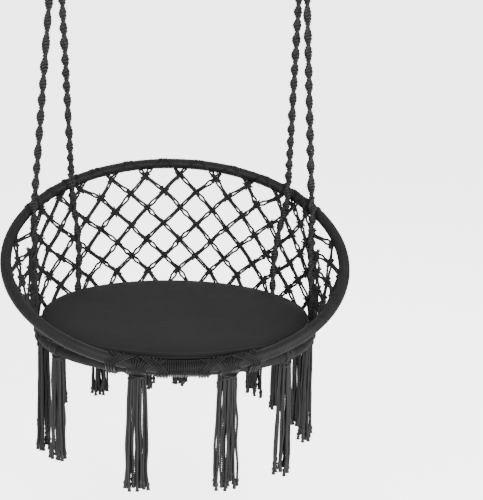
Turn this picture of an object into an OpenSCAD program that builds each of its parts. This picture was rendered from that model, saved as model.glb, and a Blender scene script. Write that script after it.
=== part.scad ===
// Knotted cord hanging chair: a big back hoop leans over a level seat ring, nets join the two,
// four ropes gather at two steel rings, and each ring hangs in a snap hook on an S-hook.
// Units: mm. X right, Y to the back, Z up. Origin: midway between the tops of the two S-hooks' bows.

/* [Frames] */
// outer diameter of the back hoop, over its cord winding
hoop_outer = 800;        // [600:10:1000]
// outer diameter of the seat ring, over its cord winding
seat_outer = 644;        // [480:2:760]
// outer diameter of the steel tube in both frames
tube_d = 20;             // [16:1:25]
// wall of the steel tube
tube_wall = 1.5;         // [1:0.1:2.5]
// thickness of the cord winding on both frames
wrap_t = 3;              // [2:0.5:5]
// lean of the hoop's plane, up towards the back, degrees
hoop_tilt = 23.5;        // [10:0.5:40]
// direction from the seat ring to the hoop where they touch in front, degrees above level
touch_angle = 29;        // [0:1:60]

/* [Ropes] */
// diameter of the spiral-knotted ropes
rope_d = 18;             // [12:1:26]
// level of the hooks above the seat ring
hang_height = 1180;      // [1000:10:1600]
// distance of each hanging point from the middle
hang_half = 267;         // [200:1:400]
// how far behind the seat ring's centre the ropes hang, so that the chair hangs level
hang_back = 30;          // [0:1:80]
// where the rear ropes cross the hoop, degrees from its back: left, right
rear_hitch = [-40, 47];
// where the front ropes cross the hoop, degrees from its back: left, right
front_hitch = [-60, 60];
// where the rear ropes end on the seat ring, degrees from its back: left, right
rear_foot = [-46, 50];
// where the front ropes end on the seat ring, degrees from its back: left, right
front_foot = [-90, 90];

/* [Nets] */
// thickness of the knotted nets
net_t = 8;               // [4:1:12]
// where the side wings of the net end on the hoop, degrees from its back
wing_end = 128;          // [100:1:135]

/* [Cushion] */
// clearance between the cushion's lower part and the seat ring
cushion_gap = 9.8;       // [4:0.2:30]
// how far the cushion's rim stands out from its lower part, over the seat ring
cushion_rim = 20;        // [8:1:40]
// height of the whole cushion
cushion_h = 38;          // [20:1:80]
// height of its lower part
cushion_low_h = 20;      // [10:1:40]
// thickness of the cover
cover_t = 1.5;           // [1:0.5:3]

/* [Tassels] */
// length of a tassel below the seat ring
tassel_len = 268;        // [100:2:400]
// diameter of a tassel at its neck
tassel_neck = 30;        // [20:1:40]
// diameter of a tassel at its tip
tassel_tip = 46;         // [24:1:60]
// where the tassels hang on the seat ring, degrees from its back
tassel_at = [-163, -122, -103, -82, -62, -35, -12, 6, 27, 43, 58, 77, 98, 131, 161];

/* [Hardware] */
// wire diameter of the S-hook
s_wire = 5.5;            // [4:0.5:8]
// radius of the S-hook's bows, to the middle of the wire
s_bow = 17;              // [12:0.5:25]
// how much further apart the centres of the S-hook's bows are than two bow radii
s_neck = 3;              // [1:0.5:30]
// wire diameter of the snap hook
snap_wire = 6;           // [5:0.5:9]
// radius of the snap hook's wide bow, to the middle of the wire
snap_wide = 17.5;        // [14:0.5:25]
// radius of the snap hook's narrow bow, to the middle of the wire
snap_narrow = 11;        // [9:0.5:16]
// distance between the centres of the snap hook's bows
snap_pitch = 55.5;       // [45:0.5:80]
// diameter of the gate's tube
gate_d = 7;              // [6:0.5:10]
// diameter of the gate's pin
pin_d = 2.5;             // [2:0.1:3.5]
// wire diameter of the steel rings
ring_wire = 6;           // [4:0.5:8]
// radius of the steel rings, to the middle of the wire
ring_bow = 22;           // [16:0.5:35]

/* [Hidden] */
$fn = 48;
ring_fn = 96;
// clearances: between hanging links, between rope ends and necks, round the tubes, and at the pins
link_gap = 0.3;
end_gap = 0.3;
tube_gap = 0.1;
pin_gap = 0.1;
turn_gap = 0.6;

frame_d = tube_d + 2 * (wrap_t + tube_gap);
hoop_r = (hoop_outer - frame_d) / 2;
seat_r = (seat_outer - frame_d) / 2;
rope_r = rope_d / 2;
cushion_low_r = seat_r - frame_d / 2 - cushion_gap;
cushion_r = cushion_low_r + cushion_rim;
s_pitch = 2 * s_bow + s_neck;

// the hoop's lowest point, against the front of the seat ring
touch = frame_d + 0.4;
hoop_front = [0, -seat_r - touch * cos(touch_angle), touch * sin(touch_angle)];

// cords tied round the frames: their outer radius, and how far rope ends and nets stay from the frames' middle
hitch_t = 4.5;
hitch_r = frame_d / 2 + hitch_t;
foot_off = hitch_r + 1;
net_off = hitch_r + net_t / 2 + 0.5;
neck_min = hitch_r + 8.5;
foot_rise = 45;
lash_in = frame_d / 2 + 2.2;
lash_t = 3;
hitch_deg = 2.5;
tassel_deg = 3;

// stack of hanging links, down from the origin
s_top = s_wire / 2 - s_bow;
s_low = s_top - s_pitch;
s_axis = s_low - s_bow;
snap_top = s_axis + (s_wire + snap_wire) / 2 + link_gap - snap_wide;
snap_low = snap_top - snap_pitch;
ring_axis = snap_low - snap_narrow + (snap_wire + ring_wire) / 2 + link_gap;
ring_mid = ring_axis - ring_bow;
eye_rope = 11;
eye_bow = ring_wire / 2 + eye_rope / 2 + 1.5;
eye_mid = ring_mid - ring_bow + ring_wire / 2 + link_gap - (eye_bow - eye_rope / 2);
head_off = rope_r + 1;
whip_d = 2 * (head_off + rope_r + 1);
whip_top = eye_mid - 7;
whip_len = 50;
rope_start = whip_top - whip_len - end_gap;

// the gate's side of the snap hook: lean of the straight sides, and places along them
lean = asin((snap_wide - snap_narrow) / snap_pitch);
side_len = snap_pitch * cos(lean);
gate_pin = 12;
gate_foot = gate_pin - 2.5;
gate_top = side_len - 7.5;
blade_t = 2.6;
slot_t = 3;
gate_bore = 4.4;

cord_black = [0.10, 0.10, 0.11];
winding_black = [0.14, 0.14, 0.15];
cushion_black = [0.17, 0.17, 0.18];
steel = [0.75, 0.77, 0.80];

function unit(v) = v / norm(v);
function mix(a, b, t) = a + (b - a) * t;
// a point on the hoop's middle line, by its angle from the back
function hoop_point(a) = hoop_front + hoop_r
    * [sin(a), (1 + cos(a)) * cos(hoop_tilt), (1 + cos(a)) * sin(hoop_tilt)];
// a point round the seat ring: its angle from the back, distance from the tube's middle and rise
function seat_point(a, off = 0, rise = 0) =
    let(r = seat_r + off * cos(rise)) [r * sin(a), r * cos(a), off * sin(rise)];
// the place on the seat ring that a place on the hoop is netted to
function foot_angle(a) =
    let(s = a < 0 ? 0 : 1, m = abs(a), rh = abs(rear_hitch[s]), fh = abs(front_hitch[s]),
        rf = abs(rear_foot[s]), ff = abs(front_foot[s]))
    sign(a) * (m <= rh ? m * rf / rh
        : m <= fh ? rf + (m - rh) * (ff - rf) / (fh - rh)
        : m + (ff - fh) * pow((180 - m) / (180 - fh), 2));
function foot_point(a) = seat_point(a, foot_off, foot_rise);
// sine of the angle between a line and the hoop or the seat ring where it meets them
function hoop_sine(a, d) = norm(cross(unit(hoop_point(a + 0.5) - hoop_point(a - 0.5)), unit(d)));
function seat_sine(a, d) = norm(cross(unit(seat_point(a + 0.5) - seat_point(a - 0.5)), unit(d)));
// the net's surface between hoop (v = 0) and seat ring (v = 1)
function net_point(a, v) =
    let(h = hoop_point(a), f = seat_point(foot_angle(a), net_off, foot_rise), d = unit(f - h))
    mix(h + net_off / hoop_sine(a, d) * d, f, v);
function net_normal(a, v) =
    unit(cross(net_point(a + 0.5, v) - net_point(a - 0.5, v), net_point(a, 1) - net_point(a, 0)));
// angle that keeps a panel's edge clear of the rope at a, at the hoop and at the seat ring
function edge_margin(a, slope) =
    let(gap = rope_r + 3.5, f = foot_angle(a), d = foot_point(f) - hoop_point(a))
    max(gap / hoop_r / hoop_sine(a, d), gap / seat_r / slope / seat_sine(f, d)) * 180 / PI;
function hang_point(side) = [side * hang_half, hang_back, hang_height];
// a rope's upper end, under the whipping: front and rear ropes lie side by side
function rope_head(side, rear) = hang_point(side) + [0, (rear ? 1 : -1) * head_off, rope_start];
// how far from the hoop's middle line a rope's flat end stays clear of the turns tied round the hoop
function neck_end(a, d) =
    let(s = hoop_sine(a, d)) max(neck_min, (hitch_r + 0.6 + rope_r * sqrt(1 - s * s)) / s);

// places the chair's own frame, with the seat ring's centre at zero, under the hanging line
module hung() { translate([0, -hang_back, -hang_height]) children(); }

module along(p, q) {
    d = q - p;
    translate(p) rotate([0, acos(d[2] / norm(d)), atan2(d[1], d[0])]) children();
}

module rod(p, q, r) { along(p, q) cylinder(r = r, h = norm(q - p)); }

module torus(bow, r_out, r_in = 0) {
    rotate_extrude($fn = ring_fn) translate([bow, 0]) difference() {
        circle(r = r_out);
        if (r_in > 0) circle(r = r_in);
    }
}

// part of a torus round the Z axis, centred on the angle a measured from +Y
module torus_part(bow, r_out, r_in, a, half) {
    rotate([0, 0, 90 - a - half]) rotate_extrude(angle = 2 * half, $fn = ring_fn)
        translate([bow, 0]) difference() { circle(r = r_out); circle(r = r_in); }
}

module on_hoop() { translate(hoop_front) rotate([hoop_tilt, 0, 0]) translate([0, hoop_r, 0]) children(); }

// ---- frames ----
module hoop_tube() color(steel) hung() on_hoop() torus(hoop_r, tube_d / 2, tube_d / 2 - tube_wall);
module hoop_wrap() color(winding_black) hung() on_hoop() torus(hoop_r, frame_d / 2, tube_d / 2 + tube_gap);
module seat_ring_tube() color(steel) hung() torus(seat_r, tube_d / 2, tube_d / 2 - tube_wall);
module seat_ring_wrap() color(winding_black) hung() torus(seat_r, frame_d / 2, tube_d / 2 + tube_gap);

// cross-section through two rods side by side, as wide as the radius r leaves round them
module pair_outline(p, r) {
    circle(r = r);
    translate(p) circle(r = r);
    rotate(atan2(p[1], p[0])) translate([0, -r]) square([norm(p), 2 * r]);
}

// bands that tie the hoop to the front of the seat ring, on both sides of the two front tassels
module lashing(b) {
    at = seat_point(b);
    turn = (180 - abs(b)) * -hoop_front[1] / hoop_r;
    h = hoop_point(sign(b) * (180 - turn));
    p = [norm([h[0], h[1]]) - seat_r, h[2]];
    translate(at) rotate([90, 0, 90 - b]) linear_extrude(24, center = true) difference() {
        pair_outline(p, lash_in + lash_t);
        pair_outline(p, lash_in);
    }
}
lash_step = 7;
module front_lashings() color(cord_black) hung()
    for (b = [tassel_at[0], tassel_at[len(tassel_at) - 1]], s = [-1, 1]) lashing(b + s * lash_step);

// ---- ropes ----
module rope_upper(side, rear, a) {
    h = hoop_point(a);
    p = rope_head(side, rear);
    q = h + neck_end(a, p - h) * unit(p - h);
    difference() {
        rod(p + rope_r * unit(p - q), q, rope_r);
        translate([p[0], p[1], p[2] + 50]) cube(100, center = true);
    }
}
module rope_upper_front_left() color(cord_black) hung() rope_upper(-1, false, front_hitch[0]);
module rope_upper_rear_left() color(cord_black) hung() rope_upper(-1, true, rear_hitch[0]);
module rope_upper_rear_right() color(cord_black) hung() rope_upper(1, true, rear_hitch[1]);
module rope_upper_front_right() color(cord_black) hung() rope_upper(1, false, front_hitch[1]);

// the ropes' lower lengths, which the nets are knotted to
function lower_line(a) = unit(foot_point(foot_angle(a)) - hoop_point(a));
function lower_top(a) = hoop_point(a) + neck_end(a, lower_line(a)) * lower_line(a);
function lower_foot(a) = foot_point(foot_angle(a)) - 9 * lower_line(a);
module rope_lower(a) { rod(lower_top(a), lower_foot(a), rope_r); }
module rope_lower_front_left() color(cord_black) hung() rope_lower(front_hitch[0]);
module rope_lower_rear_left() color(cord_black) hung() rope_lower(rear_hitch[0]);
module rope_lower_rear_right() color(cord_black) hung() rope_lower(rear_hitch[1]);
module rope_lower_front_right() color(cord_black) hung() rope_lower(front_hitch[1]);

// turns of cord where a rope crosses the hoop, with a neck to each length of the rope
module hoop_hitch(side, rear, a) {
    h = hoop_point(a);
    up = rope_head(side, rear);
    difference() {
        union() {
            on_hoop() rotate([0, 0, 90 - a - hitch_deg]) rotate_extrude(angle = 2 * hitch_deg, $fn = ring_fn)
                translate([hoop_r, 0]) circle(r = hitch_r);
            rod(h, h + (neck_end(a, up - h) - end_gap) * unit(up - h), rope_r - 1);
            rod(h, lower_top(a) - end_gap * lower_line(a), rope_r - 1);
        }
        on_hoop() torus(hoop_r, frame_d / 2 + tube_gap);
    }
}
module hoop_hitches() color(cord_black) hung() {
    hoop_hitch(-1, false, front_hitch[0]);
    hoop_hitch(-1, true, rear_hitch[0]);
    hoop_hitch(1, true, rear_hitch[1]);
    hoop_hitch(1, false, front_hitch[1]);
}

// turns of cord where a rope ends on the seat ring
module seat_ring_hitch(a) {
    f = foot_angle(a);
    end = lower_foot(a);
    difference() {
        union() {
            rotate([0, 0, 90 - f - hitch_deg]) rotate_extrude(angle = 2 * hitch_deg, $fn = ring_fn)
                translate([seat_r, 0]) circle(r = hitch_r);
            rod(end + 14 * lower_line(a), end + end_gap * lower_line(a), rope_r - 2);
        }
        torus(seat_r, frame_d / 2 + tube_gap);
    }
}
module seat_ring_hitches() color(cord_black) hung()
    for (a = [front_hitch[0], rear_hitch[0], rear_hitch[1], front_hitch[1]]) seat_ring_hitch(a);

// ---- nets ----
// a closed sheet of the net's thickness between two angles on the hoop
module net_panel(a0, a1, across, down) {
    row = across + 1;
    layer = row * (down + 1);
    points = [for (s = [1, -1], j = [0:down], i = [0:across])
        let(a = mix(a0, a1, i / across), v = j / down) net_point(a, v) + s * net_t / 2 * net_normal(a, v)];
    faces = concat(
        [for (j = [0:down - 1], i = [0:across - 1]) let(p = j * row + i) each
            [[p, p + row, p + 1], [p + 1, p + row, p + row + 1]]],
        [for (j = [0:down - 1], i = [0:across - 1]) let(p = layer + j * row + i) each
            [[p, p + 1, p + row], [p + 1, p + row + 1, p + row]]],
        [for (i = [0:across - 1], e = [0, 1]) let(p = i + (e ? down * row : 0)) each e
            ? [[p, p + layer, p + 1], [p + 1, p + layer, p + layer + 1]]
            : [[p, p + 1, p + layer], [p + 1, p + layer + 1, p + layer]]],
        [for (j = [0:down - 1], e = [0, 1]) let(p = j * row + (e ? across : 0)) each e
            ? [[p, p + row, p + layer], [p + row, p + layer + row, p + layer]]
            : [[p, p + layer, p + row], [p + row, p + layer, p + layer + row]]]);
    polyhedron(points, faces, convexity = 6);
}
function side_slope(s) = (abs(front_foot[s]) - abs(rear_foot[s])) / (abs(front_hitch[s]) - abs(rear_hitch[s]));
module net_back() color(cord_black) hung() net_panel(
    rear_hitch[0] + edge_margin(rear_hitch[0], rear_foot[0] / rear_hitch[0]),
    rear_hitch[1] - edge_margin(rear_hitch[1], rear_foot[1] / rear_hitch[1]), 16, 3);
module net_side_left() color(cord_black) hung() net_panel(
    front_hitch[0] + edge_margin(front_hitch[0], side_slope(0)),
    rear_hitch[0] - edge_margin(rear_hitch[0], side_slope(0)), 5, 3);
module net_side_right() color(cord_black) hung() net_panel(
    rear_hitch[1] + edge_margin(rear_hitch[1], side_slope(1)),
    front_hitch[1] - edge_margin(front_hitch[1], side_slope(1)), 5, 3);
function wing_slope(s) = 1 - 2 * (abs(front_foot[s]) - abs(front_hitch[s])) / (180 - abs(front_hitch[s]));
module net_wing_left() color(cord_black) hung()
    net_panel(-wing_end, front_hitch[0] - edge_margin(front_hitch[0], wing_slope(0)), 14, 2);
module net_wing_right() color(cord_black) hung()
    net_panel(front_hitch[1] + edge_margin(front_hitch[1], wing_slope(1)), wing_end, 14, 2);

// the net stretched across the seat ring, under the cushion
seat_net_top = 2;
module seat_net() color(cord_black) hung() translate([0, 0, seat_net_top - net_t])
    cylinder(r = seat_r - lash_in - lash_t - 1, h = net_t, $fn = ring_fn);

// ---- tassels ----
module tassel_hitches() color(cord_black) hung()
    for (a = tassel_at) torus_part(seat_r, hitch_r, frame_d / 2 + tube_gap, a, tassel_deg);

// a tassel hangs from its turns of cord and swings about the seat ring's tube
module tassel(k) color(cord_black) hung() translate(seat_point(tassel_at[k])) rotate([0, 0, -tassel_at[k]])
    difference() {
        rotate_extrude() polygon([[0, -frame_d / 2], [tassel_neck / 2 - 2, -frame_d / 2], [tassel_neck / 2, -50],
            [tassel_tip / 2 - 2, -0.7 * tassel_len], [tassel_tip / 2, -frame_d / 2 - tassel_len + 12],
            [tassel_tip / 2 - 4, -frame_d / 2 - tassel_len], [0, -frame_d / 2 - tassel_len]]);
        rotate([0, 90, 0]) cylinder(r = hitch_r + turn_gap, h = 2 * tassel_tip, center = true);
    }
module tassel_01() tassel(0);
module tassel_02() tassel(1);
module tassel_03() tassel(2);
module tassel_04() tassel(3);
module tassel_05() tassel(4);
module tassel_06() tassel(5);
module tassel_07() tassel(6);
module tassel_08() tassel(7);
module tassel_09() tassel(8);
module tassel_10() tassel(9);
module tassel_11() tassel(10);
module tassel_12() tassel(11);
module tassel_13() tassel(12);
module tassel_14() tassel(13);
module tassel_15() tassel(14);

// ---- cushion ----
cushion_base = seat_net_top + 1;
module cushion_shape(inset) {
    r = cushion_r - inset;
    low = cushion_low_r - inset;
    b = cushion_base + inset;
    t = cushion_base + cushion_h - inset;
    shelf = cushion_base + cushion_low_h + inset;
    rotate_extrude($fn = ring_fn) polygon([[0, b], [low - 3, b], [low, b + 3], [low, shelf - 1], [r - 4, shelf],
        [r, shelf + 3], [r, t - 5], [r - 4, t - 1], [r - 30, t], [0, t]]);
}
module cushion_foam() color([0.8, 0.8, 0.75]) hung() cushion_shape(cover_t + tube_gap);
module cushion_cover() color(cushion_black) hung() difference() {
    cushion_shape(0);
    cushion_shape(cover_t);
}

// ---- hanging links ----
module at_link(side, z) { translate([side * hang_half, 0, z]) children(); }

// rope eye round the steel ring, and the whipping that gathers the two ropes of one side
module rope_eye(side) color(cord_black) {
    at_link(side, eye_mid) rotate([0, 90, 0]) torus(eye_bow, eye_rope / 2);
    at_link(side, whip_top - whip_len) cylinder(d = whip_d, h = whip_len - 6);
    at_link(side, whip_top - 6) cylinder(d1 = whip_d, d2 = whip_d - 10, h = 6);
}
module rope_eye_left() rope_eye(-1);
module rope_eye_right() rope_eye(1);

module steel_ring(side) color(steel) at_link(side, ring_mid) rotate([90, 0, 0]) torus(ring_bow, ring_wire / 2);
module steel_ring_left() steel_ring(-1);
module steel_ring_right() steel_ring(1);

// an arc of wire round the Z axis from angle a0 to a1
module wire_arc(bow, r, a0, a1) {
    rotate([0, 0, a0]) rotate_extrude(angle = a1 - a0, $fn = ring_fn) translate([bow, 0]) circle(r = r);
}

// straight wire that runs a little way into the bent wire at both ends
bite = 1;
shave = 0.05;
module wire_rod(p, q, r) {
    d = bite * unit(q - p);
    rod(p - d, q + d, r - shave);
}

// rounded end of a wire, on its flat cut
module wire_end(r) {
    translate([0, 0, -bite / 2]) cylinder(r = r - shave, h = bite / 2);
    rotate_extrude() intersection() {
        circle(r = r - shave);
        square(r);
    }
}

// S-hook in the XZ plane, its bows one above the other, joined by their slanting tangent
module s_hook(side) color(steel) {
    r = s_wire / 2;
    t = asin(2 * s_bow / s_pitch);
    open_end = 165;
    at_link(side, 0) rotate([90, 0, 0]) {
        translate([0, s_top, 0]) wire_arc(s_bow, r, -t, open_end);
        translate([0, s_low, 0]) wire_arc(s_bow, r, 180 - t, 180 + open_end);
        wire_rod([s_bow * cos(t), s_top - s_bow * sin(t), 0], [-s_bow * cos(t), s_low + s_bow * sin(t), 0], r);
        for (e = [[s_top, open_end], [s_low, 180 + open_end]])
            translate([s_bow * cos(e[1]), e[0] + s_bow * sin(e[1]), 0]) rotate([-90, 0, e[1]]) wire_end(r);
    }
}
module s_hook_left() s_hook(-1);
module s_hook_right() s_hook(1);

// the snap hook's plane: first axis to the front, second up, from the narrow bow's centre
module in_snap(side) { at_link(side, snap_low) rotate([90, 0, -90]) children(); }
// along the gate's side: zero at the narrow bow's tangent point
module on_gate_side(s) {
    translate([snap_narrow * cos(lean), -snap_narrow * sin(lean), 0]) rotate([0, 0, -lean])
        translate([0, s, 0]) children();
}

module snap_hook(side) color(steel) in_snap(side) {
    r = snap_wire / 2;
    wire_arc(snap_narrow, r, 180 + lean, 360 - lean);
    translate([0, snap_pitch, 0]) wire_arc(snap_wide, r, -lean, 180 + lean);
    mirror([1, 0, 0]) on_gate_side(0) wire_rod([0, 0, 0], [0, side_len, 0], r);
    // foot that carries the pin, a flat tongue between the gate's ears
    on_gate_side(0) wire_rod([0, 0, 0], [0, gate_pin - 4.8 - bite, 0], r);
    on_gate_side(gate_pin) linear_extrude(blade_t, center = true) difference() {
        union() {
            circle(r = r - 0.4);
            translate([0.4 - r, -6]) square([2 * r - 0.8, 6]);
        }
        circle(d = pin_d + 2 * pin_gap);
    }
    // nose, with a tongue in the gate's upper slot
    on_gate_side(0) wire_rod([0, gate_top + 0.6 + bite, 0], [0, side_len, 0], r);
    on_gate_side(gate_top - 3.5) translate([-2.4, 0, -1.2]) cube([4.8, 5, 2.4]);
}
module snap_hook_left() snap_hook(-1);
module snap_hook_right() snap_hook(1);

module gate(side) color(steel) in_snap(side) on_gate_side(0) difference() {
    translate([0, gate_foot, 0]) rotate([-90, 0, 0]) cylinder(d = gate_d, h = gate_top - gate_foot);
    translate([0, 17.5, 0]) rotate([-90, 0, 0]) cylinder(d = gate_bore, h = gate_top - 5 - 17.5);
    translate([-gate_d, gate_foot - 1, -slot_t / 2]) cube([2 * gate_d, 17.5 - gate_foot + 1.5, slot_t]);
    translate([-gate_d, gate_top - 4.2, -slot_t / 2]) cube([2 * gate_d, 6, slot_t]);
    translate([0, gate_pin, 0]) cylinder(d = pin_d + 2 * pin_gap, h = 20, center = true);
}
module gate_left() gate(-1);
module gate_right() gate(1);

module gate_pin(side) color(steel) in_snap(side) on_gate_side(gate_pin) {
    cylinder(d = pin_d, h = gate_d + 0.8, center = true);
    for (s = [-1, 1]) translate([0, 0, s * (gate_d / 2 + 0.55)]) cylinder(d = pin_d + 1.2, h = 0.7, center = true);
}
module gate_pin_left() gate_pin(-1);
module gate_pin_right() gate_pin(1);

// coil spring in the gate's bore
spring_wire = 0.7;
spring_turns = 7;
spring_sides = 6;
module gate_spring(side) color(steel) in_snap(side) on_gate_side(19) {
    bow = (gate_bore - spring_wire) / 2 - 0.2;
    length = gate_top - 5 - 19 - 2;
    steps = spring_turns * 14;
    points = [for (i = [0:steps]) let(a = i * 360 / 14, y = length * i / steps)
        for (k = [0:spring_sides - 1]) let(b = k * 360 / spring_sides, r = bow + spring_wire / 2 * cos(b))
            [r * cos(a), y + spring_wire / 2 * sin(b), r * sin(a)]];
    last = steps * spring_sides;
    faces = concat([[for (k = [0:spring_sides - 1]) k]],
        [for (i = [0:steps - 1], k = [0:spring_sides - 1])
            let(p = i * spring_sides, n = (k + 1) % spring_sides)
            each [[p + k, p + spring_sides + k, p + n], [p + n, p + spring_sides + k, p + spring_sides + n]]],
        [[for (k = [spring_sides - 1:-1:0]) last + k]]);
    polyhedron(points, faces, convexity = 10);
}
module gate_spring_left() gate_spring(-1);
module gate_spring_right() gate_spring(1);

hoop_tube();
hoop_wrap();
seat_ring_tube();
seat_ring_wrap();
front_lashings();
rope_upper_front_left();
rope_upper_rear_left();
rope_upper_rear_right();
rope_upper_front_right();
rope_lower_front_left();
rope_lower_rear_left();
rope_lower_rear_right();
rope_lower_front_right();
hoop_hitches();
seat_ring_hitches();
net_back();
net_side_left();
net_side_right();
net_wing_left();
net_wing_right();
seat_net();
tassel_hitches();
rope_eye_left();
rope_eye_right();
cushion_foam();
cushion_cover();
tassel_01();
tassel_02();
tassel_03();
tassel_04();
tassel_05();
tassel_06();
tassel_07();
tassel_08();
tassel_09();
tassel_10();
tassel_11();
tassel_12();
tassel_13();
tassel_14();
tassel_15();
steel_ring_left();
steel_ring_right();
snap_hook_left();
snap_hook_right();
gate_left();
gate_right();
gate_pin_left();
gate_pin_right();
gate_spring_left();
gate_spring_right();
s_hook_left();
s_hook_right();
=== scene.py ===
"""Looks of the knotted cord hanging chair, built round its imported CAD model. Metres, row frame, Z up."""
import math

import bpy
import numpy as np
from mathutils import Matrix, Vector


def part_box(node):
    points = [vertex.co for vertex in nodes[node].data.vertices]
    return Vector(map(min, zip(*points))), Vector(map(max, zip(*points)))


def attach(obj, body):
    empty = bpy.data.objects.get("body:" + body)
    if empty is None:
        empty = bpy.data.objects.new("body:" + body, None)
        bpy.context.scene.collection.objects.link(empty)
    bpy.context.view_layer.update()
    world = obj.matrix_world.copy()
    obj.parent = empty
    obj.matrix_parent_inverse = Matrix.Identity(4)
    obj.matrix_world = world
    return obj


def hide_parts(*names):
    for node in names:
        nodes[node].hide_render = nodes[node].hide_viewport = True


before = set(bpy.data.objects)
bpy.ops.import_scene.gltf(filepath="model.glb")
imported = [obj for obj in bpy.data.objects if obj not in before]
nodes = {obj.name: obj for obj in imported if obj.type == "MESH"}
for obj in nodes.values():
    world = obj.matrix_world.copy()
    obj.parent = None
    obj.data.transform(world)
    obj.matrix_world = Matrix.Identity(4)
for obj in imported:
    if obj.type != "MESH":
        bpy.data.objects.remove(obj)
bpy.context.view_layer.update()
rng = np.random.default_rng(11)

# ---- sizes of the CAD model; angles are in degrees from the back, to the viewer's right ----
SEAT = np.array([0.0, -0.030, -1.180])  # middle of the seat ring
HANG_HALF = 0.267  # half of the distance between the hanging points
FRAME_R = 0.0131  # outer radius of the windings
HOOP_R = 0.3869  # radius of the hoop's middle line
SEAT_R = 0.3089  # radius of the seat ring's middle line
TILT = math.radians(23.5)  # rise of the hoop's plane towards the back
TOUCH = math.radians(29)  # rise of the line from the seat ring's front to the hoop's front
TOUCH_GAP = 0.0266  # length of that line, from middle to middle
HOOP_FRONT = SEAT + [0, -SEAT_R - TOUCH_GAP * math.cos(TOUCH), TOUCH_GAP * math.sin(TOUCH)]
REAR_HITCH, FRONT_HITCH = (-40, 47), (-60, 60)  # where the ropes cross the hoop, left and right
REAR_FOOT, FRONT_FOOT = (46, 50), (90, 90)  # how far round the seat ring they end, left and right
FOOT_RISE = 45  # ropes and nets reach the seat ring from this far above its outer side
ROPE_HEAD_Z = -0.2424  # where the ropes end in the rope eyes
ROPES = [("front_left", -1, -60), ("rear_left", -1, -40), ("rear_right", 1, 47), ("front_right", 1, 60)]
TASSEL_AT = [-163, -122, -103, -82, -62, -35, -12, 6, 27, 43, 58, 77, 98, 131, 161]
FLOOR_Z = -1.70
UP = np.array([0.0, 0.0, 1.0])


def unit(v):
    v = np.asarray(v, float)
    return v / np.linalg.norm(v, axis=-1, keepdims=True)


def hoop_point(a):
    """Point on the hoop's middle line, by its angle in degrees from the back."""
    a = np.radians(a)
    lift = HOOP_R * (1 + np.cos(a))
    return HOOP_FRONT + np.stack([HOOP_R * np.sin(a), lift * math.cos(TILT), lift * math.sin(TILT)], -1)


def seat_point(a, off=0.0, rise=0.0):
    """Point round the seat ring: angle from the back, distance from the tube's middle, rise in degrees."""
    a, rise = np.radians(a), math.radians(rise)
    r = SEAT_R + off * math.cos(rise)
    return SEAT + np.stack([r * np.sin(a), r * np.cos(a), off * math.sin(rise) + 0 * a], -1)


def foot_angle(a):
    """The place on the seat ring that a place on the hoop is netted to."""
    s, m = (0, -a) if a < 0 else (1, a)
    rear, front = abs(REAR_HITCH[s]), abs(FRONT_HITCH[s])
    if m <= rear:
        f = m * REAR_FOOT[s] / rear
    elif m <= front:
        f = REAR_FOOT[s] + (m - rear) * (FRONT_FOOT[s] - REAR_FOOT[s]) / (front - rear)
    else:
        f = m + (FRONT_FOOT[s] - front) * ((180 - m) / (180 - front)) ** 2
    return math.copysign(f, a)


def ring_frame(point, a):
    """Middle, outward and sideways directions of a ring's cross-section at angle a."""
    a = np.asarray(a, float)
    mid = point(a)
    along = unit(point(a + 0.5) - point(a - 0.5))
    centre = (point(0.0) + point(180.0)) / 2
    out = mid - centre
    out = unit(out - (out * along).sum(-1, keepdims=True) * along)
    return mid, along, out, np.cross(along, out)


# ---- meshes ----
class Work:
    """Cords and shells gathered into one mesh."""

    def __init__(self):
        self.co, self.faces, self.n = [], [], 0

    def grid(self, rings, closed=False):
        """A skin over rings of points; an open one gets a flat end at its first and last ring."""
        n, m = rings.shape[:2]
        i, j = np.arange(n if closed else n - 1)[:, None], np.arange(m)[None, :]
        k, l = (i + 1) % n, (j + 1) % m
        quads = np.stack([i * m + j, i * m + l, k * m + l, k * m + j], -1).reshape(-1, 4) + self.n
        self.faces += quads.tolist()
        if not closed:
            self.faces.append([self.n + x for x in range(m - 1, -1, -1)])
            self.faces.append([self.n + (n - 1) * m + x for x in range(m)])
        self.co.append(rings.reshape(-1, 3))
        self.n += n * m

    def sweep(self, line, ref, r, sides=8, plies=0, lay=0.016, phase=0.0, closed=False):
        """A cord of radius r (one, or one for each point) along line.

        A laid cord has plies, which make one turn in the length lay.
        """
        line = np.asarray(line, float)
        if closed:
            t = np.roll(line, -1, 0) - np.roll(line, 1, 0)
        else:
            t = np.gradient(line, axis=0)
        t = unit(t)
        ref = np.broadcast_to(np.asarray(ref, float), line.shape)
        n = unit(ref - (ref * t).sum(-1, keepdims=True) * t)
        b = np.cross(t, n)
        angle = np.arange(sides) * 2 * math.pi / sides
        r = np.broadcast_to(np.asarray(r, float), (len(line),))[:, None] * np.ones(sides)
        turn = np.full(len(line), phase)
        if plies:
            s = np.concatenate([[0], np.cumsum(np.linalg.norm(np.diff(line, axis=0), axis=1))])
            turns = s / lay
            if closed:
                whole = s[-1] + np.linalg.norm(line[0] - line[-1])
                turns = s / whole * max(1, round(whole / lay))
            turn = phase + 2 * math.pi * turns
            r = r * (1 - 0.2 * (1 - np.abs(np.sin(plies * angle / 2))))
        at = angle[None, :] + turn[:, None]
        section = n[:, None] * np.cos(at)[..., None] + b[:, None] * np.sin(at)[..., None]
        self.grid(line[:, None] + section * r[..., None], closed)

    def laid(self, line, ref, r, lay, phase=0.0, closed=False):
        """A cord of three plies."""
        self.sweep(line, ref, r, 9, 3, lay, phase, closed)

    def make(self, name):
        mesh = bpy.data.meshes.new(name)
        mesh.from_pydata(np.concatenate(self.co).tolist(), [], self.faces)
        mesh.update()
        mesh.shade_smooth()
        obj = bpy.data.objects.new(name, mesh)
        bpy.context.collection.objects.link(obj)
        return obj


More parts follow.
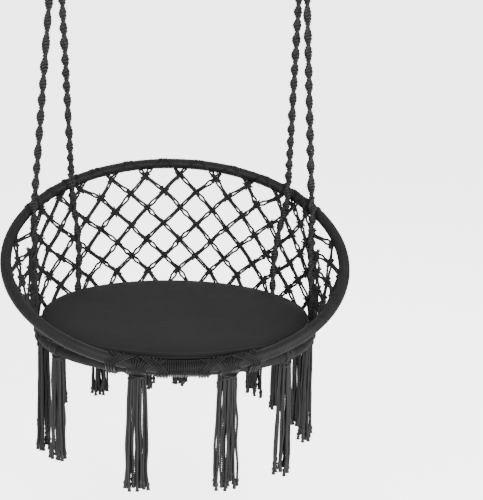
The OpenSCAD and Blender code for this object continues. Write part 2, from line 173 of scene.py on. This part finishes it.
def piece(work, name, body, material, slot, *stands_for):
    """Make a finished piece: its mesh or object, the body it rides on, its finish and the CAD nodes it replaces."""
    obj = work.make(name) if isinstance(work, Work) else work
    obj.data.materials.append(material)
    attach(obj, body)
    if stands_for:
        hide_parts(*stands_for)
    return obj


def wobble(n, size, smooth):
    """n values that wander smoothly about zero."""
    knots = rng.normal(0, size, max(4, int(n / smooth) + 3))
    x = np.linspace(0, len(knots) - 1.001, n)
    i = x.astype(int)
    f = x - i
    f = f * f * (3 - 2 * f)
    return knots[i] * (1 - f) + knots[i + 1] * f


# ---- materials ----
def new_material(name):
    m = bpy.data.materials.new(name)
    m.use_nodes = True
    return m, m.node_tree.nodes, m.node_tree.links, m.node_tree.nodes["Principled BSDF"]


def new_node(ns, kind, operation=None, **values):
    """A shader node with its inputs set; an underscore in an input's name is a space."""
    node = ns.new(kind)
    if operation:
        node.operation = operation
    for name, value in values.items():
        node.inputs[name.replace("_", " ")].default_value = value
    return node


def ramp(ns, low, high, at=(0.3, 0.7)):
    """Colours from low to high between two places of a grey value."""
    r = ns.new("ShaderNodeValToRGB")
    r.color_ramp.elements[0].position, r.color_ramp.elements[1].position = at
    r.color_ramp.elements[0].color = (*low, 1)
    r.color_ramp.elements[1].color = (*high, 1)
    return r


def cord_material(name, dark, light, rough, shine, fibre=900, depth=0.35):
    """Black polyester cord: fine fibres and uneven dye."""
    m, ns, ln, bsdf = new_material(name)
    co = ns.new("ShaderNodeTexCoord")
    broad = new_node(ns, "ShaderNodeTexNoise", Scale=38, Detail=4)
    fine = new_node(ns, "ShaderNodeTexNoise", Scale=fibre, Detail=3)
    ln.new(co.outputs["Object"], broad.inputs["Vector"])
    ln.new(co.outputs["Object"], fine.inputs["Vector"])
    both = new_node(ns, "ShaderNodeMath", "MULTIPLY_ADD")
    both.inputs[1].default_value = 0.55
    ln.new(fine.outputs["Fac"], both.inputs[0])
    half = new_node(ns, "ShaderNodeMath", "MULTIPLY")
    half.inputs[1].default_value = 0.45
    ln.new(broad.outputs["Fac"], half.inputs[0])
    ln.new(half.outputs[0], both.inputs[2])
    tint = ramp(ns, dark, light, (0.35, 0.68))
    ln.new(both.outputs[0], tint.inputs["Fac"])
    ln.new(tint.outputs["Color"], bsdf.inputs["Base Color"])
    bump = new_node(ns, "ShaderNodeBump", Strength=depth, Distance=0.0006)
    ln.new(fine.outputs["Fac"], bump.inputs["Height"])
    ln.new(bump.outputs["Normal"], bsdf.inputs["Normal"])
    bsdf.inputs["Roughness"].default_value = rough
    bsdf.inputs["Specular IOR Level"].default_value = shine
    return m


CORD = cord_material("cord", (0.0012, 0.0012, 0.0013), (0.0046, 0.0046, 0.0050), 0.60, 0.12)
NET_CORD = cord_material("net_cord", (0.0012, 0.0012, 0.0013), (0.0042, 0.0042, 0.0046), 0.60, 0.09)
WINDING = cord_material("winding", (0.0008, 0.0008, 0.0009), (0.0034, 0.0034, 0.0037), 0.55, 0.07, fibre=700)


def fabric_material(name, dark, light):
    """Plain woven polyester of the cushion: threads 0.7 mm apart, over and under."""
    m, ns, ln, bsdf = new_material(name)
    co = ns.new("ShaderNodeTexCoord")
    waves = []
    for direction in ("X", "Y"):
        w = new_node(ns, "ShaderNodeTexWave", Scale=420, Distortion=0.6, Detail=1)
        w.bands_direction = direction
        ln.new(co.outputs["Object"], w.inputs["Vector"])
        waves.append(w)
    weave = new_node(ns, "ShaderNodeMath", "MULTIPLY")
    ln.new(waves[0].outputs["Fac"], weave.inputs[0])
    ln.new(waves[1].outputs["Fac"], weave.inputs[1])
    cloud = new_node(ns, "ShaderNodeTexNoise", Scale=9, Detail=5)
    ln.new(co.outputs["Object"], cloud.inputs["Vector"])
    mixed = new_node(ns, "ShaderNodeMath", "MULTIPLY_ADD")
    mixed.inputs[1].default_value = 0.3
    ln.new(weave.outputs[0], mixed.inputs[0])
    ln.new(cloud.outputs["Fac"], mixed.inputs[2])
    tint = ramp(ns, dark, light, (0.35, 0.85))
    ln.new(mixed.outputs[0], tint.inputs["Fac"])
    ln.new(tint.outputs["Color"], bsdf.inputs["Base Color"])
    bump = new_node(ns, "ShaderNodeBump", Strength=0.25, Distance=0.0003)
    ln.new(weave.outputs[0], bump.inputs["Height"])
    ln.new(bump.outputs["Normal"], bsdf.inputs["Normal"])
    bsdf.inputs["Roughness"].default_value = 0.85
    bsdf.inputs["Specular IOR Level"].default_value = 0.04
    return m


def metal_material(name, dark, light, rough, metallic=1.0):
    """Metal or paint with cloudy colour, gloss and a little bump."""
    m, ns, ln, bsdf = new_material(name)
    co = ns.new("ShaderNodeTexCoord")
    noise = new_node(ns, "ShaderNodeTexNoise", Scale=160, Detail=6)
    ln.new(co.outputs["Object"], noise.inputs["Vector"])
    tint = ramp(ns, dark, light)
    ln.new(noise.outputs["Fac"], tint.inputs["Fac"])
    ln.new(tint.outputs["Color"], bsdf.inputs["Base Color"])
    worn = new_node(ns, "ShaderNodeMapRange", To_Min=rough * 0.75, To_Max=rough * 1.3)
    ln.new(noise.outputs["Fac"], worn.inputs["Value"])
    ln.new(worn.outputs["Result"], bsdf.inputs["Roughness"])
    bump = new_node(ns, "ShaderNodeBump", Strength=0.08, Distance=0.0002)
    ln.new(noise.outputs["Fac"], bump.inputs["Height"])
    ln.new(bump.outputs["Normal"], bsdf.inputs["Normal"])
    bsdf.inputs["Metallic"].default_value = metallic
    return m


FABRIC = fabric_material("cushion_fabric", (0.0030, 0.0030, 0.0031), (0.0044, 0.0044, 0.0045))
# The piping gets a lighter copy of the cushion fabric: a painted highlight of light catching the rolled seams.
PIPING_PAINTED_HIGHLIGHT = fabric_material("piping_fabric", (0.0050, 0.0050, 0.0051), (0.0075, 0.0075, 0.0076))
ZINC = metal_material("zinc", (0.26, 0.27, 0.28), (0.40, 0.41, 0.42), 0.24)
PAINT = metal_material("black_paint", (0.012, 0.012, 0.012), (0.022, 0.022, 0.022), 0.4, 0.0)

# ---- camera, at the photograph's viewing angle ----
scene = bpy.context.scene
camera = bpy.data.objects.new("camera", bpy.data.cameras.new("camera"))
bpy.context.collection.objects.link(camera)
camera.data.sensor_width = 36
camera.data.lens = 94.62
camera.data.shift_x, camera.data.shift_y = 0.0666, 0.078
heading, pitch, roll = math.radians(3.81), math.radians(-14.79), math.radians(1.277)
camera.matrix_world = (
    Matrix.Translation((-0.1194, -2.9434, -0.3155))
    @ Matrix.Rotation(-heading, 4, "Z")
    @ Matrix.Rotation(math.radians(90) + pitch, 4, "X")
    @ Matrix.Rotation(roll, 4, "Z")
)
scene.camera = camera


# ---- windings ----
def winding(point, turns, name, node):
    """A ridged shell round a tube, in place of turns of cord: ridges that wind three abreast and lie unevenly."""
    per_turn, around, abreast = 8, 16, 3
    proud, groove, sunk = 0.0002, 0.0020, 0.0004
    n = turns * per_turn
    a = np.arange(n) * 360.0 / n
    mid, _, out, side = ring_frame(point, a)
    v = np.arange(around) * 2 * math.pi / around
    phase = np.arange(n)[:, None] / per_turn + abreast * v[None, :] / (2 * math.pi)
    ridge = np.abs(np.sin(math.pi * phase)) ** 0.8
    uneven = rng.uniform(0, 1, turns + 2)[(phase // 1).astype(int) % turns]
    r = FRAME_R + proud - groove * (1 - ridge) - sunk * uneven
    section = out[:, None] * np.cos(v)[None, :, None] + side[:, None] * np.sin(v)[None, :, None]
    w = Work()
    w.grid(mid[:, None] + section * r[..., None], closed=True)
    piece(w, name, "chair", WINDING, "winding", node)


winding(hoop_point, 540, "hoop_winding", "hoop_wrap")
winding(seat_point, 430, "seat_ring_winding", "seat_ring_wrap")


def loops(work, point, a, count, step, cord=0.0021, slant=0.0, lift=0.0011):
    """Turns of cord round a frame, step degrees apart about angle a; slant in degrees leans them."""
    v = np.arange(36) * 2 * math.pi / 36
    for k in range(count):
        lean = slant + rng.normal(0, 0.12)
        at = a + (k - (count - 1) / 2) * step + lean * np.sin(v + 0.4) + rng.normal(0, 0.04)
        mid, along, out, side = ring_frame(point, at)
        r = FRAME_R + lift + rng.uniform(-0.0003, 0.0003)
        ring = mid + (out * np.cos(v)[:, None] + side * np.sin(v)[:, None]) * r
        work.laid(ring, along, cord, 0.015, rng.uniform(0, 6), closed=True)


# ---- spiral ropes of half knots ----
def sennit(work, line, width=0.0212, thick=0.0108, knot=0.0078, half_turn=0.040, start=0.0):
    """A spiral rope along line, with a half knot in every length knot.

    Two working cords cross in front of and behind the core at each half knot,
    and the flat rope makes half a turn in every half_turn metres.
    """
    r, core = 0.0037, 0.0036
    line = np.asarray(line, float)
    s = np.concatenate([[0], np.cumsum(np.linalg.norm(np.diff(line, axis=0), axis=1))])
    count = max(2, int(s[-1] / knot))
    steps = 12
    k = np.linspace(0, count, count * steps + 1)
    z = (k + 0.09 * np.sin(2 * math.pi * k)) / count * s[-1]
    centre = np.stack([np.interp(z, s, line[:, c]) for c in range(3)], -1)
    t = unit(np.gradient(centre, axis=0))
    ref = np.array([1.0, 0, 0])
    n = unit(ref - (t @ ref)[:, None] * t)
    b = np.cross(t, n)
    swell = 1 + wobble(len(k), 0.06, steps * 5)
    turn = np.full(len(k), math.pi / steps * knot / half_turn) * (1 + wobble(len(k), 0.16, steps * 6))
    face = start + np.cumsum(turn)
    for side in (0, 1):
        th = math.pi * (k + side)
        u = (width / 2 - r) * swell * np.cos(th)
        w = (thick / 2 - r) * np.sin(th) + 0.0004 * np.sign(np.sin(th))
        x = u * np.cos(face) - w * np.sin(face)
        y = u * np.sin(face) + w * np.cos(face)
        work.laid(centre + n * x[:, None] + b * y[:, None], t, r, 0.013, rng.uniform(0, 6))
    work.sweep(centre[::steps], ref, core)


def rope_line(a):
    """Where the rope at hoop angle a crosses the hoop and ends on the seat ring, and the way down."""
    h, f = hoop_point(a), seat_point(foot_angle(a), 0.0186, FOOT_RISE)
    return h, f, unit(f - h)


def bowed(p, q, bow, n=40):
    """A line from p to q that bows by that much."""
    t = np.linspace(0, 1, n)[:, None]
    return p + (q - p) * t + np.asarray(bow) * np.sin(math.pi * t)


ABOVE_HOOP, BELOW_HOOP, ABOVE_FOOT = 0.027, 0.038, 0.010  # from the crossing or the foot to a rope's end
upper_lines, lower_lines = {}, {}
for name, side, a in ROPES:
    head = np.array([side * HANG_HALF, 0.010 if "rear" in name else -0.010, ROPE_HEAD_Z])
    h, f, down = rope_line(a)
    up = unit(head - h)
    upper_lines[name] = bowed(h + up * ABOVE_HOOP, head, (0, 0, 0))
    foot = f - down * ABOVE_FOOT
    bow = -side * 0.009 if "rear" in name else -side * 0.002
    lower_lines[name] = bowed(h + down * BELOW_HOOP, foot, (bow, 0, 0))

for name, side, a in ROPES:
    line = upper_lines[name]
    w = Work()
    sennit(w, line, half_turn=0.041 if "front" in name else 0.036, start=rng.uniform(0, 6))
    rope = piece(w, f"rope_{name}", "chair", CORD, "cord", f"rope_upper_{name}")
    line = lower_lines[name]
    w = Work()
    sennit(w, line, width=0.0205, half_turn=0.036, start=rng.uniform(0, 6))
    piece(w, f"rope_low_{name}", "chair", CORD, "cord", f"rope_lower_{name}")

# where a rope crosses the hoop: it runs on over the hoop's front, and turns of cord hold it on both sides
w = Work()
for name, _, a in ROPES:
    start, end = upper_lines[name][0], lower_lines[name][0]
    view = unit(np.array([0, -1.0, 0.15]))
    t = np.linspace(0, 1, 24)[:, None]
    over = start + (end - start) * t
    clear = 0.0065
    push = (FRAME_R + clear) * np.sin(math.pi * t) ** 0.7
    sennit(w, over + view * push, width=0.0212, thick=0.0115, knot=0.0072, half_turn=0.034, start=0.2)
    for s in (-1, 1):
        loops(w, hoop_point, a + s * 2.0, 2, 0.66, cord=0.0019, slant=s * 0.6, lift=0.0004)
piece(w, "hoop_knots", "chair", CORD, "cord", "hoop_hitches")

# where a rope ends on the seat ring
w = Work()
for name, _, a in ROPES:
    f_angle = foot_angle(a)
    f, end = seat_point(f_angle, 0.0150, FOOT_RISE), lower_lines[name][-1]
    sennit(w, bowed(end, f, (0, 0, 0), 8), width=0.0180, knot=0.0068, start=0.4)
    loops(w, seat_point, f_angle, 7, 0.72)
piece(w, "seat_ring_knots", "chair", CORD, "cord", "seat_ring_hitches")


# ---- nets: columns of knots round the hoop, rows of knots from the hoop to the seat ring ----
BACK_K, SIDE_K, WING_K = 3.5, 5.5, 15  # the last column of the back net, of the side nets and of the wings
WING_FROM = 62  # hoop angle where a wing's knots start
EDGE_SPREAD = 3.4  # the cords of a knot beside the hoop meet it this far to each side, in degrees


def net_surface(a, d):
    """Point on the net at hoop angle a, d from the hoop's middle line towards the seat ring.

    Also the way down the net, its normal, and its whole length at that angle.
    """
    h, f = hoop_point(a), seat_point(foot_angle(a), 0.0165, FOOT_RISE)
    long = float(np.linalg.norm(f - h))
    way = (f - h) / long
    _, along, _, _ = ring_frame(hoop_point, a)
    return h + way * min(d, long), way, unit(np.cross(along, way)), long


def column(k):
    """Hoop angle of the net's column k: even between the rear ropes, then on to the front ropes."""
    rear = (-40.4, 47.2)[k > 0]
    front = FRONT_HITCH[k > 0]
    m = abs(k)
    return 3.4 + 12.5 * k if m <= BACK_K else rear + (front - rear) * (m - BACK_K) / 2


def depth(j, a):
    """How far row j lies from the hoop at angle a; the rows come a little closer towards the seat."""
    full = net_surface(min(max(a, FRONT_HITCH[0]), FRONT_HITCH[1]), 0)[3]
    return full * (0.087 + 0.135 * j - 0.0013 * j * j)


def knot(work, p, way, normal, size=1.0, lean=0.0):
    """A square knot: two cords looped round the crossing, over two that run through."""
    apart, wide, deep, curl, arm, lay = 0.0029, 0.0074, 0.0036, 0.0011, 0.0135, 0.011
    turn_r, arm_r = 0.0025 * size, 0.0026
    across = unit(np.cross(normal, way))
    c, s = math.cos(lean), math.sin(lean)
    x, y = across * c + way * s, way * c - across * s
    v = np.arange(16) * 2 * math.pi / 16
    for shift in (-apart, apart):
        ring = p + y * shift * size + x * (np.cos(v)[:, None] * wide * size) \
            + normal * (np.sin(v)[:, None] * deep * size) + y * (np.sin(2 * v)[:, None] * curl)
        work.laid(ring, y, turn_r, lay, rng.uniform(0, 6), closed=True)
    for turn, cross in ((x, y), (y, x)):
        for shift in (-1, 1):
            u = np.linspace(-1, 1, 9)[:, None]
            line = p + cross * shift * (0.0019 + 0.0014 * u * u) + turn * u * arm * size
            work.laid(line, normal, arm_r, lay)


def double_cord(work, p, q, normal):
    """Two cords side by side from knot to knot, with an eye between them near one end."""
    r, lay, half_gap, wander_by = 0.0029, 0.012, 0.0024, 0.0009
    n = max(6, int(np.linalg.norm(q - p) / 0.0022))
    t = np.linspace(0, 1, n)
    across = unit(np.cross(normal, q - p))
    eye = rng.choice([0.27, 0.33, 0.68, 0.74])
    gap = rng.uniform(0.0, 0.0028)
    open_ = np.exp(-((t - eye) / 0.13) ** 2) * gap
    wander = rng.normal(0, wander_by) * np.sin(math.pi * t)
    twist = rng.normal(0, wander_by)
    for side in (-1, 1):
        line = p + (q - p) * t[:, None] + across * (side * (half_gap + open_) + wander)[:, None] \
            + normal * (side * twist * np.sin(math.pi * t) + rng.normal(0, 0.0004))[:, None]
        work.laid(line, normal, r, lay, rng.uniform(0, 6))


panels = {
    "net_back": (-BACK_K, BACK_K), "net_side_left": (-SIDE_K, -BACK_K), "net_side_right": (BACK_K, SIDE_K),
    "net_wing_left": (-WING_K, -SIDE_K), "net_wing_right": (SIDE_K, WING_K)}
works = {n: Work() for n in panels}


def panel_of(k):
    """The first panel that column k lies in."""
    return next(works[n] for n, (lo, hi) in panels.items() if lo <= k <= hi)


# back and side nets; i counts half columns, so that every second row lies between the others
knots = {}
for row in range(8):
    for i in range(-11, 12):
        k = i / 2
        if (i % 2 == 0) != (row % 2 == 0):
            continue
        a = column(k)
        if row == 0 and abs(k) < BACK_K:
            a += 0.7 * k
        d = depth(row, a)
        p, way, normal, long = net_surface(a, d)
        if d > long - 0.020:
            continue
        p = p + normal * rng.normal(0, 0.0012) + way * rng.normal(0, 0.0016) \
            + np.cross(normal, way) * rng.normal(0, 0.0016)
        knots[(i, row)] = (p, way, normal, a)

ties = Work()
for (i, row), (p, way, normal, a) in knots.items():
    k = i / 2
    w = panel_of(k)
    knot(w, p, way, normal, rng.uniform(0.92, 1.08), rng.choice([-0.75, 0.75]) + rng.normal(0, 0.12))
    for s in (-1, 1):
        below = knots.get((i + s, row + 1))
        if below:
            double_cord(panel_of(k + s * 0.25), p, below[0], normal)
        else:
            at = a + s * abs(column(k + s * 0.5) - a) * 0.9
            end = seat_point(foot_angle(at), FRAME_R + 0.001, FOOT_RISE)
            double_cord(w, p, end, normal)
            if min(abs(foot_angle(at) - t) for t in TASSEL_AT) > 4.5:
                loops(w, seat_point, foot_angle(at), 1, 0.75, cord=0.0019, lift=-0.0003)
        if row == 0:
            at = a + s * EDGE_SPREAD
            mid = hoop_point(at)
            end = mid + unit(p - mid) * (FRAME_R + 0.0005)
            double_cord(w, end, p, normal)
            if abs(at) < WING_FROM:
                loops(ties, hoop_point, at + 0.2 * s, 2, 0.62, cord=0.0017, slant=s * 2.2, lift=-0.0005)
piece(ties, "net_ties", "chair", WINDING, "winding")


def wing_place(side, n, j):
    """Knot n, j of a wing: its columns lean back as they leave the hoop."""
    first, step, lean_back = FRONT_HITCH[1], 8.6, 6.6
    return side * (first + step * n - lean_back * j), depth(j, first)


# wings; a cord that leaves a wing is cut where it meets the front rope or the seat ring
for side, label in ((-1, "left"), (1, "right")):
    w = works[f"net_wing_{label}"]
    spots = {}
    for n in range(15):
        for j in range(8):
            a, d = wing_place(side, n, j)
            if (n + j) % 2 == 0 and WING_FROM <= abs(a) < 140 and d < net_surface(a, 0)[3] - 0.022:
                spots[(n, j)] = net_surface(a, d)[:3]
    for (n, j), (p, way, normal) in spots.items():
        a, d = wing_place(side, n, j)
        knot(w, p, way, normal, rng.uniform(0.85, 1.0), rng.choice([-0.75, 0.75]) + rng.normal(0, 0.12))
        for s in (-1, 1):
            if (n + s, j + 1) in spots:
                q = spots[(n + s, j + 1)][0]
            else:
                a2, d2 = wing_place(side, n + s, j + 1)
                long = net_surface(a, 0)[3]
                part = min(1.0, (abs(a) - 60) / max(1e-6, abs(a) - abs(a2))) if abs(a2) < 60 else 1.0
                part = min(part, (long - 0.0135 - d) / (d2 - d))
                q = net_surface(a + (a2 - a) * part, d + (d2 - d) * part)[0]
            double_cord(w, p, q, normal)
            above = (n + s, j - 1)
            if j == 0 or j < 2 and above not in spots and abs(wing_place(side, *above)[0]) > 60:
                at = a + s * EDGE_SPREAD
                mid = hoop_point(at)
                double_cord(w, mid + unit(p - mid) * (FRAME_R + 0.0005), p, normal)
for n, w in works.items():
    piece(w, n + "_cords", "chair", NET_CORD, "cord", n)

# net under the cushion: a square lattice of the same knots inside the seat ring
w = Work()
pitch, level, edge, root2 = 0.047, SEAT[2] - 0.002, SEAT_R - FRAME_R - 0.0005, 1.414
spots = {}
for i in range(-8, 9):
    for j in range(-8, 9):
        x, y = (i - j) * pitch / root2, (i + j) * pitch / root2
        if math.hypot(x, y) < edge - 0.016:
            spots[(i, j)] = np.array([x, SEAT[1] + y, level - 0.004 * (1 - (x * x + y * y) / edge ** 2)])
for (i, j), p in spots.items():
    knot(w, p, np.array([0, 1.0, 0]), UP, 1.0, rng.choice([-0.75, 0.75]))
    for di, dj in ((1, 0), (0, 1), (-1, 0), (0, -1)):
        q = spots.get((i + di, j + dj))
        if q is None:
            way = np.array([(di - dj), (di + dj), 0.0]) / root2
            c = p - SEAT
            bq = float(c[:2] @ way[:2])
            run = -bq + math.sqrt(max(0, bq * bq + edge ** 2 - float(c[:2] @ c[:2])))
            q = p + way * run
            q[2] = SEAT[2] - 0.001
            double_cord(w, p, q, UP)
        elif di + dj > 0:
            double_cord(w, p, q, UP)
piece(w, "seat_net_cords", "chair", NET_CORD, "cord", "seat_net")


# ---- front lashings: cords that cross over hoop and seat ring beside the front tassels ----
def lashing(work, low, high, cord=0.0024, lift=0.0016):
    """A loop round both frames: under the seat ring at angle low and over the hoop at angle high."""
    v = np.linspace(0, 2 * math.pi, 49)[:-1]
    c, b = np.cos(v), (low + high) / 2
    part = np.clip(0.5 - 0.62 * np.sin(v), 0, 1)
    at = low + (high - low) * part
    from_front = (180 - np.abs(at)) * SEAT_R / HOOP_R
    mid_s, mid_h = seat_point(at), hoop_point(np.sign(at) * (180 - from_front))
    outward = unit((seat_point(b) - SEAT) * [1, 1, 0])
    axis = unit(hoop_point(math.copysign(180 - (180 - abs(b)) * SEAT_R / HOOP_R, b)) - seat_point(b))
    other = unit(np.cross(axis, np.cross(outward, UP)))
    share = np.clip(0.5 + c * 3.0, 0, 1)[:, None]
    ring = mid_s * (1 - share) + mid_h * share \
        + (FRAME_R + lift) * (axis * c[:, None] + other * np.sin(v)[:, None])
    work.laid(ring, np.cross(axis, other), cord, 0.015, rng.uniform(0, 6), closed=True)


w = Work()
for centre in (TASSEL_AT[0], TASSEL_AT[-1]):
    for s in (-1, 1):
        for k in range(7):
            u = 0.5 + 1.75 * k + rng.normal(0, 0.15)
            lashing(w, centre + s * (0.2 + 0.28 * u), centre + s * u)
        for k in range(4):
            lashing(w, centre + s * (8.6 + 1.1 * k), centre + s * (1.2 + 1.6 * k), lift=0.0032)
first, last = TASSEL_AT[-1] + 8.5, 360 + TASSEL_AT[0] - 8.5
for b in np.arange(first, last, 0.86):
    b = b if b <= 180 else b - 360
    lashing(w, b, b, cord=0.0022, lift=0.0006)
piece(w, "front_lashing_cords", "chair", WINDING, "winding", "front_lashings")


# ---- tassels ----
def strand(work, start, spread_dir, tangent, length):
    """One hanging cord with a knotted, frayed tip; its line is handed back."""
    r, wide = 0.0032, 0.0090
    n = max(20, int(length / 0.0019))
    t = np.linspace(0, 1, n)
    z = -length * t
    out = wide * t ** 0.6
    x = spread_dir[0] * out + wobble(n, 0.0020, 38) * t ** 0.8
    y = spread_dir[1] * out + wobble(n, 0.0018, 38) * t ** 0.8
    across = np.cross(UP, tangent)
    line = start + tangent * x[:, None] + across * y[:, None] + UP * z[:, None]
    left = (1 - t) * length
    knot_at, knot_long, frayed = 0.0125, 0.0036, 0.0050
    bulge = 1 + 0.7 * np.exp(-((left - knot_at) / knot_long) ** 2) + 0.55 * np.exp(-(left / frayed) ** 2)
    work.laid(line, tangent, r * bulge, 0.015, rng.uniform(0, 6))
    return line


w = Work()
for a in TASSEL_AT:
    loops(w, seat_point, a, 6, 0.82, cord=0.0022, lift=0.0014)
piece(w, "tassel_knots", "chair", CORD, "cord", "tassel_hitches")

# length of each tassel, in the order of TASSEL_AT
LONG = [0.285, 0.250, 0.262, 0.250, 0.232, 0.240, 0.245, 0.238, 0.240, 0.236, 0.246, 0.256, 0.250, 0.268, 0.285]
LONGEST = 0.268  # the longest tassel that stays in the CAD model's box
for index, a in enumerate(TASSEL_AT):
    name = f"tassel_{index + 1:02d}"
    front = abs(a) > 150
    count = 16 if front else 14
    top = seat_point(a) - UP * 0.0150
    _, tangent, _, _ = ring_frame(seat_point, a)
    full = min(LONG[index], LONGEST) - 0.004
    w, lead = Work(), Work()
    neck = 0.0180 if front else 0.0135
    for k in range(count):
        across = 2 * ((k * 5) % count + rng.uniform(0.2, 0.8)) / count - 1
        deep = math.sqrt(1 - across * across) * (-1) ** k * rng.uniform(0.3, 1.0)
        begin = top + tangent * (across * neck) + np.cross(UP, tangent) * (deep * 0.0085)
        spread_dir = np.array([across, deep * 0.8])
        drop = full * (1 - abs(rng.normal(0, 0.06))) if k else full * 0.97
        line = strand(lead if k == 0 else w, begin, spread_dir, tangent, drop)
    v = np.arange(24) * 2 * math.pi / 24
    for k in range(2):
        collar = seat_point(a) - UP * (0.0165 + 0.0035 * k) + tangent * np.cos(v)[:, None] * (neck + 0.0010) \
            + np.cross(UP, tangent) * np.sin(v)[:, None] * 0.0105 + UP * (0.004 - 0.008 * k) * np.cos(v)[:, None]
        w.laid(collar, UP, 0.0026, 0.014, k, closed=True)
    rest = piece(w, name + "_strands", name, CORD, "cord", name)
    one = piece(lead, name + "_lead", name, CORD, "cord")

# ---- rope eyes, each with a ridged shell for its whipping and loops of cord round the steel ring ----
for label, x in (("left", -HANG_HALF), ("right", HANG_HALF)):
    low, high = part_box(f"rope_eye_{label}")
    mid = np.array([x, 0.0, 0.0])
    w = Work()
    turns, per = 11, 10
    z = np.linspace(low.z + 0.001, low.z + 0.050, turns * per + 1)
    v = np.arange(28) * 2 * math.pi / 28
    phase = np.arange(len(z))[:, None] / per + v[None, :] / (2 * math.pi)
    f = phase % 1
    ridge = np.sqrt(np.maximum(0, 1 - (2 * f - 1) ** 2))
    tip = np.clip((z - z[0]) / 0.003, 0, 1) ** 0.5 * np.clip((z[-1] - z) / 0.007, 0, 1) ** 0.4
    r = 0.0195 * (0.72 + 0.28 * tip)[:, None] - 0.0013 * (1 - ridge)
    rings = mid + np.stack([np.cos(v)[None, :] * r, np.sin(v)[None, :] * r, z[:, None] + 0 * r], -1)
    w.grid(rings)
    centre = mid + UP * (high.z - 0.0155)
    t = np.arange(40) * 2 * math.pi / 40
    for shift in (-0.0024, 0.0024):
        for grow in (0.0, 0.0036):
            r = 0.0087 + grow
            ring = centre + np.stack([0 * t + shift, np.sin(t) * r, np.cos(t) * r], -1)
            w.laid(ring, (1, 0, 0), 0.0026, 0.014, rng.uniform(0, 6), closed=True)
    piece(w, f"rope_eye_{label}_cords", "chair", CORD, "cord", f"rope_eye_{label}")


# ---- cushion ----
def cushion():
    """Round foam cushion in a fitted cover: crowned top, side band, rolled seams above and below."""
    base = SEAT[2] + 0.003
    w = Work()
    n = 240
    a = np.arange(n) * 2 * math.pi / n
    pucker = np.sin(a * 57) * 0.5 + np.sin(a * 83 + 1) * 0.5
    slow = np.sin(a * 3 + 0.6) * 0.5 + np.sin(a * 5 + 2.1) * 0.5
    profile = [  # radius and height: under side, lower side, overhang, side band, rolled rim, top
        (0.000, 0.0005), (0.140, 0.0002), (0.270, 0.0003),
        (0.2845, 0.0025), (0.2860, 0.0060), (0.2862, 0.0150),
        (0.2890, 0.0195), (0.2960, 0.0205), (0.3010, 0.0206), (0.3035, 0.0214),
        (0.3048, 0.0230), (0.3056, 0.0258), (0.3058, 0.0285), (0.3053, 0.0306), (0.3044, 0.0318),
        (0.3034, 0.0325), (0.3010, 0.0338), (0.2970, 0.0349), (0.2900, 0.0363), (0.2800, 0.0377),
        (0.2660, 0.0389), (0.2480, 0.0399), (0.2150, 0.0406), (0.1500, 0.0410), (0.0800, 0.0410), (0.0300, 0.0410)]
    rings = []
    for r, z in profile:
        rim = math.exp(-((r - 0.303) / 0.006) ** 2)
        band = math.exp(-((z - 0.028) / 0.006) ** 2) * (r > 0.30)
        rr = r + rim * pucker * 0.00025 - band * 0.0003 * pucker
        zz = z - rim * slow * 0.0006 - (0.0004 * slow if 0.2 < r < 0.30 and z > 0.035 else 0)
        rings.append(np.stack([rr * np.sin(a), SEAT[1] + rr * np.cos(a), base + zz + 0 * a], -1))
    rings = np.array(rings)[:, ::-1]
    w.grid(rings)
    body = w.make("cushion")
    sub = body.modifiers.new("smooth", "SUBSURF")
    sub.levels = sub.render_levels = 1
    body = piece(body, "cushion", "cushion", FABRIC, "cushion_fabric", "cushion_cover", "cushion_foam")
    # the piping rings wear the lighter fabric copy, a painted highlight along the rolled seams
    for label, r, z, thick in (("top", 0.3042, 0.0322, 0.0012), ("bottom", 0.3040, 0.0214, 0.0019)):
        seam = Work()
        rr = r + 0.0003 * pucker
        line = np.stack([rr * np.sin(a), SEAT[1] + rr * np.cos(a), base + z + 0.0006 * -slow], -1)
        seam.sweep(line, UP, thick, 10, 0, closed=True)
        piece(seam, f"cushion_piping_{label}", "cushion", PIPING_PAINTED_HIGHLIGHT, "cushion_fabric")


cushion()

# ---- CAD pieces that stay ----
for n, obj in nodes.items():
    if obj.hide_render:
        continue
    obj.data.materials.clear()
    obj.data.materials.append(PAINT if n.endswith("_tube") else ZINC)

# ---- floor and light ----
floor_mesh = bpy.data.meshes.new("floor")
floor_mesh.from_pydata([(x, y, FLOOR_Z) for x, y in ((-60, -60), (60, -60), (60, 60), (-60, 60))], [], [(0, 1, 2, 3)])
floor = bpy.data.objects.new("floor", floor_mesh)
bpy.context.collection.objects.link(floor)
m, ns, ln, bsdf = new_material("floor")
bsdf.inputs["Base Color"].default_value = (0.92, 0.92, 0.92, 1)
bsdf.inputs["Roughness"].default_value = 0.9
bsdf.inputs["Emission Color"].default_value = (1, 1, 1, 1)
bsdf.inputs["Emission Strength"].default_value = 1.0
floor_mesh.materials.append(m)

world = bpy.data.worlds.new("studio")
world.use_nodes = True
background = world.node_tree.nodes["Background"]
background.inputs["Color"].default_value = (1, 1, 1, 1)
background.inputs["Strength"].default_value = 3.2
scene.world = world


def lamp(name, place, target, size, power):
    """A square lamp that shines from place towards target and that the camera doesn't see."""
    data = bpy.data.lights.new(name, "AREA")
    data.size, data.energy = size, power
    obj = bpy.data.objects.new(name, data)
    bpy.context.collection.objects.link(obj)
    back = np.array(place, float) - np.array(target, float)
    obj.visible_camera = False
    obj.location = place
    obj.rotation_euler = Vector(back).to_track_quat("Z", "Y").to_euler()


lamp("key", (1.2, -2.6, 1.7), (0, 0, -1.0), 1.4, 60)
lamp("front", (0.7, -3.0, -0.45), (0, 0, -1.2), 1.0, 430)
lamp("fill", (-2.4, -1.8, 0.6), (0, 0, -1.0), 2.0, 40)
lamp("back", (0.4, 2.6, 1.2), (0, 0, -1.0), 1.8, 40)
